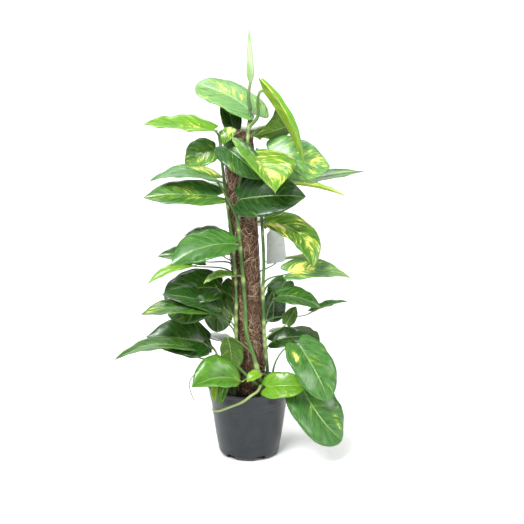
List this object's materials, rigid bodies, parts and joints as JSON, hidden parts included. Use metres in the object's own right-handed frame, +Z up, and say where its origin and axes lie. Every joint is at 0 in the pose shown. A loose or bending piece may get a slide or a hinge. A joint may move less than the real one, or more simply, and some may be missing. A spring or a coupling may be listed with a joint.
{
  "type": "potted pothos on a coir pole",
  "caption": "Variegated climbing pothos trained up a leaning coir pole in a round dark nursery pot, with heart-shaped leaves all round and a rolled new leaf on top.",
  "frame": {"origin": "on the pot's axis, at the flat underside that it stands on", "axes": "+Z up along the pot's axis, which is the longest extent; -Y to the front, where the foot with its two side notches and the runner over the rim are"},
  "size_m": [0.4262, 0.2898, 0.728],
  "materials": {
    "pot": "satin charcoal, faint mould lines and scuffs",
    "soil": "matt, dark and crumbly",
    "stake": "plain turned wood",
    "coir": "coarse red-brown fibre mat",
    "tag": "blank pale plastic",
    "front_vine": "waxy variegated leaves, satin above and matt below",
    "right_vine": "waxy variegated leaves, satin above and matt below",
    "left_vine": "waxy variegated leaves, satin above and matt below",
    "back_vine": "waxy variegated leaves, satin above and matt below",
    "left_shoot": "waxy dark leaves, satin above and matt below",
    "right_shoot": "waxy dark leaves, satin above and matt below"
  },
  "bodies": {
    "root": {"pot": "pot", "soil": "soil", "pole_stake": "stake", "coir_sleeve": "coir", "care_tag": "tag", "front_vine": "front_vine", "right_vine": "right_vine", "left_vine": "left_vine", "back_vine": "back_vine", "left_shoot": "left_shoot", "right_shoot": "right_shoot"}
  },
  "joints": []
}
